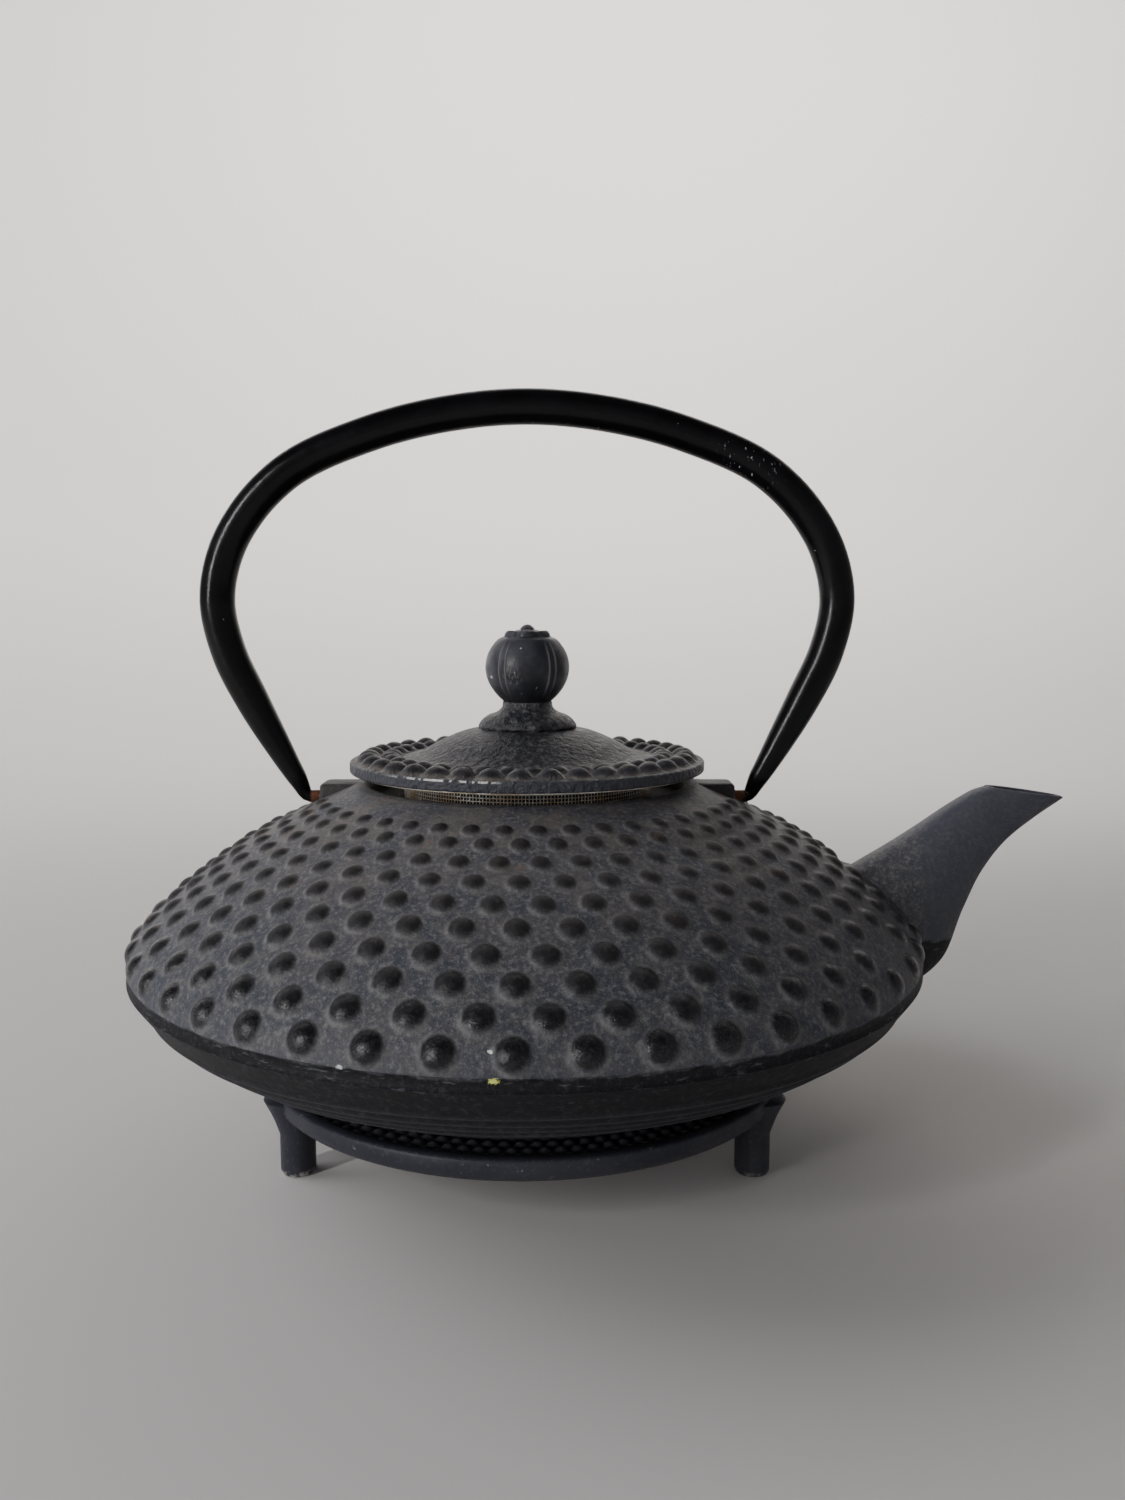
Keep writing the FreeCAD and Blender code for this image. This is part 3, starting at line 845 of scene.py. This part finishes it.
def trivet_leg(angle):
    """Round leg that flares outwards into the rim's edge."""
    flare = LEG_FLARE_R - LEG_CENTRE_R - LEG_R
    sections = [(0.0, LEG_R - 0.8 * MM, 0.0), (0.25 * MM, LEG_R - 0.25 * MM, 0.0), (0.9 * MM, LEG_R, 0.0),
                (0.68 * TRIVET_BOTTOM, LEG_R, 0.0), (TRIVET_BOTTOM, LEG_R + 0.15 * flare, 0.3 * flare),
                (TRIVET_TOP - 0.9 * MM, LEG_R + 0.5 * flare, 0.5 * flare),
                (TRIVET_TOP - 0.5 * MM, LEG_R + 0.4 * flare, 0.4 * flare)]
    smooth = curve_through(sections[3:6], 24)
    sections = sections[:3] + [tuple(s) for s in smooth] + sections[6:]
    turn = full_turn(48)
    ca, sa = cos(radians(angle)), sin(radians(angle))
    rings = []
    for z, radius, shift in sections:
        x = LEG_CENTRE_R + shift + radius * np.cos(turn)
        y = radius * np.sin(turn)
        rings.append(xyz(x * ca - y * sa, x * sa + y * ca, z))
    return loft("trivet_leg", rings)


# -------------------- materials

def new_material(name):
    return Graph(bpy.data.materials.new(name))


class Graph:
    """The nodes of a material or a world, added by short calls."""

    def __init__(self, owner, place="Object"):
        owner.use_nodes = True
        self.owner = owner
        self.nodes = owner.node_tree.nodes
        self.links = owner.node_tree.links
        self.place = self.add("TexCoord").outputs[place]

    def add(self, kind, inputs=None, **settings):
        node = self.nodes.new("ShaderNode" + kind)
        for key, value in settings.items():
            setattr(node, key, value)
        for key, value in (inputs or {}).items():
            self.feed(node.inputs[key], value)
        return node

    def feed(self, socket, value):
        if isinstance(value, bpy.types.NodeSocket):
            self.links.new(value, socket)
        else:
            socket.default_value = (*value, 1.0) if socket.type == "RGBA" else value

    def noise(self, scale, detail=3.0, roughness=0.55, place=None):
        """Noise with features about 1/scale metres apart."""
        inputs = {"Vector": place or self.place, "Scale": scale, "Detail": detail, "Roughness": roughness}
        return self.add("TexNoise", inputs).outputs["Fac"]

    def attribute(self, name):
        return self.add("Attribute", attribute_name=name).outputs["Fac"]

    def steps(self, value, low, high, to_low=0.0, to_high=1.0):
        """Maps low..high to to_low..to_high, smoothly and clamped."""
        inputs = {"Value": value, "From Min": low, "From Max": high, "To Min": to_low, "To Max": to_high}
        return self.add("MapRange", inputs, interpolation_type="SMOOTHSTEP").outputs["Result"]

    def math(self, operation, a, b=0.0):
        return self.add("Math", {0: a, 1: b}, operation=operation).outputs["Value"]

    def times(self, *values):
        return reduce(lambda a, b: self.math("MULTIPLY", a, b), values)

    def mix(self, share, a, b):
        return self.add("Mix", {0: share, 6: a, 7: b}, data_type="RGBA").outputs[2]

    def tint(self, base, color, *shares):
        """A colour laid over another by the product of some shares."""
        return self.mix(self.times(*shares), base, color)

    def mottled(self, scale, dark, light, detail=3.0):
        """Two tones in soft patches."""
        return self.mix(self.steps(self.noise(scale, detail), 0.35, 0.65), dark, light)

    def xyz(self):
        return self.add("SeparateXYZ", {0: self.place}).outputs[:]

    def near(self, point, radius):
        """1 at a point of the object, falling to 0 at a distance."""
        gap = self.vector("DISTANCE", self.place, point).outputs["Value"]
        return self.steps(gap, radius, radius * 0.2)

    def splash(self, point, radius):
        """1 within a small ragged spot, wider than it is high."""
        gap = self.vector("SUBTRACT", self.place, point).outputs["Vector"]
        flat = self.vector("MULTIPLY", gap, (0.6, 0.3, 1.0)).outputs["Vector"]
        length = self.vector("LENGTH", flat).outputs["Value"]
        ragged = self.math("ADD", length, self.times(self.noise(1800, 4, 0.7), 1.6 * radius))
        return self.steps(ragged, 1.55 * radius, 1.3 * radius)

    def vector(self, operation, a, b=(0, 0, 0)):
        return self.add("VectorMath", {0: a, 1: b}, operation=operation)

    def stretched(self, *factors):
        return self.vector("MULTIPLY", self.place, factors).outputs["Vector"]

    def axis_distance(self):
        """Distance from the pot's upright axis."""
        return self.vector("LENGTH", self.stretched(1, 1, 0)).outputs["Value"]

    def done(self, color, roughness, *relief, metallic=0.0, specular=0.5):
        """The finished material; relief holds (height, distance, strength), coarsest first."""
        inputs = {"Base Color": color, "Roughness": roughness, "Metallic": metallic,
                  "Specular IOR Level": specular}
        for height, distance, strength in relief:
            bump = {"Height": height, "Distance": distance, "Strength": strength}
            if "Normal" in inputs:
                bump["Normal"] = inputs["Normal"]
            inputs["Normal"] = self.add("Bump", bump).outputs["Normal"]
        for key, value in inputs.items():
            self.feed(self.nodes["Principled BSDF"].inputs[key], value)
        return self.owner


def pot_material():
    """Matte blue-grey iron: dusty grained valleys, darker worn hobnails with caps set uphill as painted
    shade, painted shade on the underside and the lugs, rust at the mouth.
    """
    g = new_material("pot_iron")
    x, y, z = g.xyz()
    radius = g.axis_distance()
    hob = g.attribute("hob")
    ring = g.attribute("ring")
    grain = g.noise(1100, 4, 0.7)
    fine = g.noise(3200, 2, 0.6)
    base = g.mottled(70, (0.038, 0.042, 0.058), (0.055, 0.056, 0.068))
    base = g.tint(base, (0.088, 0.087, 0.088), g.steps(g.noise(330, 4, 0.65), 0.42, 0.64), 0.65)
    base = g.tint(base, (0.195, 0.19, 0.19), g.steps(grain, 0.48, 0.68), 0.62)
    base = g.tint(base, (0.2, 0.195, 0.19), g.steps(fine, 0.55, 0.7), 0.45)
    base = g.tint(base, (0.018, 0.02, 0.028), g.steps(grain, 0.44, 0.3), 0.5)
    base = g.tint(base, (0.048, 0.051, 0.068), g.steps(radius, 0.96 * R, 1.06 * R), 0.75)
    upper = g.times(g.steps(z, 0.6 * R, 0.88 * R), g.steps(radius, 1.0 * R, 0.9 * R))
    dust = g.times(upper, g.steps(g.noise(120, 4), 0.38, 0.7))
    base = g.tint(base, (0.15, 0.125, 0.1), dust, 0.4)
    base = g.tint(base, (0.16, 0.156, 0.15), ring, g.steps(g.noise(420, 4, 0.65), 0.35, 0.7, 0.1, 0.75))
    top = g.mix(g.steps(grain, 0.4, 0.8), (0.008, 0.008, 0.01), (0.034, 0.032, 0.034))
    top = g.tint(top, (0.034, 0.03, 0.029), upper, 0.45)
    # dark hobnail caps: worn tops, set uphill as painted shade
    color = g.mix(hob, base, top)
    polish = g.steps(z, 0.7 * R, 0.56 * R, 0.55, 0.22)
    rough = g.math("ADD", g.times(hob, polish), g.times(g.math("SUBTRACT", 1.0, hob), 0.6))
    # painted shade: below the ragged belly edge the underside turns near-black, standing in for the shade
    # under the belly
    ragged = g.math("ADD", z, g.times(g.math("SUBTRACT", g.noise(170, 4, 0.7), 0.5), 3.5 * MM))
    under = g.steps(ragged, 0.508 * R, 0.498 * R)
    underside_shade = g.mix(g.steps(g.noise(800, 4, 0.7), 0.5, 0.68), (0.005, 0.005, 0.007), (0.027, 0.027, 0.031))
    color = g.mix(g.times(under, 0.94), color, underside_shade)
    scars = g.steps(g.noise(900, 3, 0.7, g.stretched(0.25, 0.25, 1.6)), 0.6, 0.68)
    band = g.times(g.steps(z, 0.516 * R, 0.5 * R), g.steps(z, 0.455 * R, 0.475 * R))
    color = g.tint(color, (0.13, 0.135, 0.155), scars, band, 0.45)
    color = g.tint(color, (0.1, 0.1, 0.115), g.attribute("ridge"), 0.65)
    left = g.near((-0.82 * R, -0.1 * R, 0.7 * R), 0.3 * R)
    mouth = g.steps(radius, 0.425 * R, 0.402 * R)
    rusty = g.math("MAXIMUM", left, g.math("MAXIMUM", mouth, g.times(dust, 0.55)))
    color = g.tint(color, (0.2, 0.085, 0.038), g.steps(g.noise(260, 5, 0.7), 0.6, 0.7), rusty)
    # painted shade: the lugs and their footing on the shoulder are darkened
    out = g.math("ABSOLUTE", x)
    lugs = g.times(g.steps(g.math("ABSOLUTE", y), 5.4 * MM, 4.7 * MM), g.steps(out, 0.43 * R, 0.45 * R),
                   g.steps(out, 0.56 * R, 0.545 * R), g.steps(z, 0.84 * R, 0.858 * R))
    color = g.tint(color, (0.016, 0.014, 0.014), lugs, 0.7)
    color = g.tint(color, (0.02, 0.013, 0.01), g.steps(radius, 0.408 * R, 0.4 * R), 0.8)
    color = g.tint(color, (0.8, 0.88, 0.22), g.splash((-0.035 * R, -0.999 * R, 0.502 * R), 0.85 * MM))
    color = g.tint(color, (0.75, 0.76, 0.66), g.splash((-0.041 * R, -0.98 * R, 0.551 * R), 0.45 * MM))
    color = g.tint(color, (0.6, 0.63, 0.66), g.splash((-0.322 * R, -0.945 * R, 0.508 * R), 0.62 * MM))
    return g.done(color, rough, (grain, 0.0003, 0.6), (fine, 0.00008, 0.5),
                  specular=g.steps(under, 0.0, 1.0, 0.42, 0.25))


def lid_material():
    """The same iron, orange-peeled, with a broken worn line along the front edge."""
    g = new_material("lid_iron")
    x, y, z = g.xyz()
    radius = g.axis_distance()
    hob = g.attribute("hob")
    ring = g.attribute("ring")
    peel = g.noise(700, 3, 0.6)
    grain = g.noise(1900, 3, 0.7)
    base = g.mottled(45, (0.016, 0.017, 0.023), (0.03, 0.03, 0.036))
    base = g.tint(base, (0.105, 0.102, 0.102), g.steps(peel, 0.5, 0.66), 0.7)
    base = g.tint(base, (0.008, 0.008, 0.01), g.steps(peel, 0.46, 0.34), 0.7)
    dusty = g.steps(g.noise(150, 4), 0.35, 0.7, 0.25, 1.0)
    base = g.tint(base, (0.15, 0.135, 0.115), ring, dusty)
    # dark hobnail caps: worn tops, set uphill as painted shade
    color = g.tint(base, (0.018, 0.018, 0.022), hob, 0.8)
    color = g.tint(color, (0.045, 0.048, 0.06), g.steps(radius, LID_R - 1.0 * MM, LID_R - 0.3 * MM), 0.7)
    line = g.times(g.steps(z, LID_BOTTOM + 1.95 * MM, LID_BOTTOM + 2.1 * MM),
                   g.steps(z, LID_BOTTOM + 2.47 * MM, LID_BOTTOM + 2.35 * MM))
    front = g.times(g.steps(y, -0.3 * R, -0.42 * R), g.steps(x, -0.02 * R, -0.08 * R),
                    g.steps(radius, LID_R - 0.6 * MM, LID_R - 0.3 * MM))
    worn = g.times(line, front, g.steps(g.noise(420, 4, 0.7, g.stretched(1, 1, 0.3)), 0.45, 0.52))
    color = g.tint(color, (0.66, 0.65, 0.62), worn)
    collar = g.steps(radius, 0.15 * R, 0.125 * R)
    pale = g.times(collar, g.steps(g.noise(500, 4, 0.7), 0.5, 0.66))
    color = g.tint(color, (0.14, 0.14, 0.15), pale, 0.45)
    rough = g.steps(peel, 0.35, 0.65, 0.42, 0.6)
    smooth = g.steps(hob, 0.0, 1.0, 1.0, 0.25)
    return g.done(color, rough, (peel, 0.0013, g.times(smooth, 0.85)), (grain, 0.0001, 0.5))


def knob_material():
    """Near-black semi-gloss iron with pale ribs and nicks, a painted streaky highlight on its front left,
    painted shade towards the bottom.
    """
    g = new_material("knob_iron")
    y, z = g.xyz()[1:]
    base = g.mottled(160, (0.02, 0.021, 0.027), (0.05, 0.051, 0.062))
    # painted highlight: pale upright streaks at the knob's front left, a window's reflection on the ball
    highlight_streaks = g.steps(g.noise(2600, 4, 0.7, g.stretched(1.0, 1.0, 0.22)), 0.46, 0.66)
    highlight_spot = g.times(g.near((-0.036 * R, -0.095 * R, 1.185 * R), 0.04 * R), g.steps(y, 0.0, -0.05 * R))
    base = g.tint(base, (0.2, 0.19, 0.19), highlight_streaks, highlight_spot, 0.65)
    base = g.tint(base, (0.15, 0.15, 0.16), g.attribute("rib"), 0.8)
    nicks = g.steps(g.noise(700, 2, 0.5), 0.73, 0.755)
    base = g.tint(base, (0.42, 0.42, 0.43), nicks)
    top = g.steps(z, 1.288 * R, 1.3 * R)
    base = g.tint(base, (0.15, 0.15, 0.155), top, g.steps(g.noise(500, 3), 0.42, 0.62), 0.6)
    # painted shade: darker towards the bottom of the ball
    base = g.tint(base, (0.01, 0.01, 0.012), g.steps(z, 1.17 * R, 1.12 * R), 0.7)
    rough = g.steps(g.noise(300, 3), 0.3, 0.7, 0.36, 0.5)
    return g.done(base, rough, (g.noise(1500, 3, 0.6), 0.00009, 0.6), specular=0.4)


def handle_material():
    """Black paint with a soft sheen, scratched near the right shoulder, with bare rusty ends."""
    g = new_material("handle_paint")
    x, _, z = g.xyz()
    paint_color = g.mottled(60, (0.0022, 0.0022, 0.0028), (0.0045, 0.0045, 0.0055))
    worn = g.near((0.56 * R, -2 * MM, 1.72 * R), 0.11 * R)
    scratches = g.steps(g.noise(1300, 3, 0.65, g.stretched(1.4, 0.5, 0.6)), 0.66, 0.68)
    specks = g.steps(g.noise(1100, 2, 0.5), 0.785, 0.8)
    marks = g.math("MAXIMUM", g.times(worn, scratches), specks)
    color = g.tint(paint_color, (0.45, 0.45, 0.47), marks)
    bare = g.times(g.steps(g.math("ABSOLUTE", x), 0.568 * R, 0.558 * R), g.steps(z, 0.95 * R, 0.92 * R))
    rust = g.mix(g.steps(g.noise(700, 4, 0.7), 0.38, 0.62), (0.055, 0.024, 0.016), (0.17, 0.07, 0.035))
    color = g.mix(bare, color, rust)
    rough = g.math("ADD", g.steps(g.noise(240, 4), 0.3, 0.7, 0.18, 0.26), g.times(bare, 0.5))
    return g.done(color, rough, (g.noise(420, 3, 0.5), 0.00008, 0.6), (g.noise(2600, 3, 0.6), 0.00004, 0.5),
                  specular=0.24)


def steel_material(name, clean, stained):
    """Thin stainless steel, fine drawing marks and brown tea stains."""
    g = new_material(name)
    stains = g.steps(g.noise(210, 5, 0.65), 0.38, 0.62)
    color = g.mix(stains, clean, stained)
    marks = g.noise(2400, 3, 0.6, g.stretched(0.3, 0.3, 2.0))
    rough = g.math("ADD", g.steps(marks, 0.3, 0.7, 0.28, 0.44), g.times(stains, 0.18))
    return g.done(color, rough, (marks, 0.00003, 0.6), metallic=g.steps(stains, 0.0, 1.0, 1.0, 0.75))


def trivet_material():
    """Smoother blue-grey iron with painted light on its small hobnails, worn pale at the feet."""
    g = new_material("trivet_iron")
    x, y, z = g.xyz()
    grain = g.noise(1300, 4, 0.65)
    base = g.mottled(55, (0.024, 0.025, 0.036), (0.037, 0.038, 0.049))
    base = g.tint(base, (0.12, 0.12, 0.13), g.steps(grain, 0.5, 0.74), 0.35)
    floor = g.times(g.steps(g.axis_distance(), FLOOR_R + 0.3 * MM, FLOOR_R - 0.3 * MM), 0.7)
    base = g.tint(base, (0.022, 0.022, 0.027), floor)
    # painted highlight: the small hobnails are lighter than the floor, standing in for the light they catch
    color = g.tint(base, (0.085, 0.085, 0.095), g.attribute("hob"), 0.7)
    left_foot = g.steps(x, 0.1 * R, -0.2 * R, 0.35, 1.0)
    worn = g.times(g.steps(z, 1.6 * MM, 0.5 * MM), g.steps(g.noise(500, 4, 0.7), 0.42, 0.58), left_foot)
    color = g.tint(color, (0.36, 0.35, 0.33), worn)
    chips = g.times(g.steps(g.noise(420, 4, 0.7), 0.66, 0.7), g.steps(y, -0.3 * R, -0.5 * R))
    color = g.tint(color, (0.24, 0.24, 0.26), chips, 0.7)
    return g.done(color, g.steps(grain, 0.3, 0.7, 0.42, 0.58), (grain, 0.00014, 0.5), specular=0.34)


def rivet_material():
    """Plain dark steel with a hammered face."""
    g = new_material("rivet_steel")
    dents = g.noise(700, 2, 0.5)
    color = g.mottled(300, (0.2, 0.18, 0.16), (0.34, 0.32, 0.3), detail=4)
    return g.done(color, g.steps(dents, 0.3, 0.7, 0.34, 0.55), (dents, 0.00025, 0.5), metallic=1.0)


def cad_pieces():
    """Materials for the small parts that keep their CAD shape."""
    looks = dict.fromkeys(("knob_rivet", "knob_washer"), rivet_material())
    steel = steel_material("strainer_steel", (0.95, 0.92, 0.86), (0.6, 0.5, 0.38))
    looks.update(dict.fromkeys(("strainer_rim", "strainer_seam", "strainer_base_ring"), steel))
    for node, material in looks.items():
        for slot in frame["nodes"][node].material_slots:
            slot.material = material


# -------------------- stage

def stage():
    """Pale floor that curves up into a brighter wall."""
    size = 3.0
    radius = 0.25
    back = 0.85
    sweep = arc(back - radius, radius, radius, -90, 0, 13)
    path = join([(-size, 0.0)], sweep, [(back, 2.2)])
    verts = [(x, y, z) for y, z in path for x in (-size, size)]
    faces = [(2 * i, 2 * i + 1, 2 * i + 3, 2 * i + 2) for i in range(len(path) - 1)]
    mesh = bpy.data.meshes.new("backdrop")
    mesh.from_pydata(verts, [], faces)
    mesh.shade_smooth()
    g = new_material("backdrop")
    height = g.xyz()[2]
    color = g.mix(g.steps(height, 0.0, radius), (0.6, 0.585, 0.57), (0.85, 0.83, 0.81))
    color = g.tint(color, (0.5, 0.5, 0.5), g.noise(6), 0.06)
    mesh.materials.append(g.done(color, 0.9, specular=0.1))
    new_object("backdrop", mesh)


def area_light(name, place, target, size, power, color, spread=180, mirrored=True):
    """Rectangular lamp of a power in watts; mirrored says whether shiny faces show it."""
    data = bpy.data.lights.new(name, "AREA")
    data.spread = radians(spread)
    data.shape = "RECTANGLE"
    data.size, data.size_y = size
    data.energy = power
    data.color = color
    lamp = new_object(name, data)
    lamp.visible_glossy = mirrored
    lamp.location = place
    lamp.rotation_euler = (Vector(target) - Vector(place)).to_track_quat("-Z", "Y").to_euler()


def lights():
    """Window light from the left, a washed wall, a narrow window front left, a low fill, a dim room."""
    centre = (0, 0, 0.07)
    area_light("window", (-1.12, 0.22, 0.75), centre, (1.0, 1.0), 13.0, (0.96, 0.97, 1.0), mirrored=False)
    area_light("wall_wash", (0.15, 0.05, 1.00), (0.15, 0.85, 0.45), (1.0, 0.4), 6.2, (1.0, 0.97, 0.93),
               spread=90)
    area_light("front_window", (-1.05, -0.95, 0.52), centre, (0.1, 0.75), 11.5, (1.0, 0.98, 0.98))
    area_light("low_fill", (0.0, -1.6, 0.22), centre, (0.8, 0.3), 2.2, (1.0, 0.97, 0.95), mirrored=False)
    room = Graph(bpy.data.worlds.new("room"), "Generated")
    fade = room.add("MapRange", {"Value": room.xyz()[2], "From Min": 0.15, "From Max": 0.85,
                                 "To Min": 0.34, "To Max": 0.06})
    background = room.nodes["Background"].inputs
    room.feed(background["Strength"], fade.outputs["Result"])
    room.feed(background["Color"], (0.86, 0.85, 0.9))
    bpy.context.scene.world = room.owner


def camera():
    """In front of the pot, a little above it and tipped down."""
    cam = new_object("camera", bpy.data.cameras.new("camera"))
    cam.data.sensor_width = SENSOR_MM
    cam.data.lens = LENS_MM
    cam.data.clip_start = 0.01
    cam.location = EYE
    cam.rotation_euler = (radians(90 - TILT_DEG), 0, 0)
    bpy.context.scene.camera = cam


trivet()
pot_body()
handle()
wire_cloth = steel_material("strainer_mesh", (0.92, 0.88, 0.8), (0.62, 0.5, 0.34))
basket_wall(wire_cloth)
basket_base(wire_cloth)
lid()
knob()
cad_pieces()
stage()
lights()
camera()
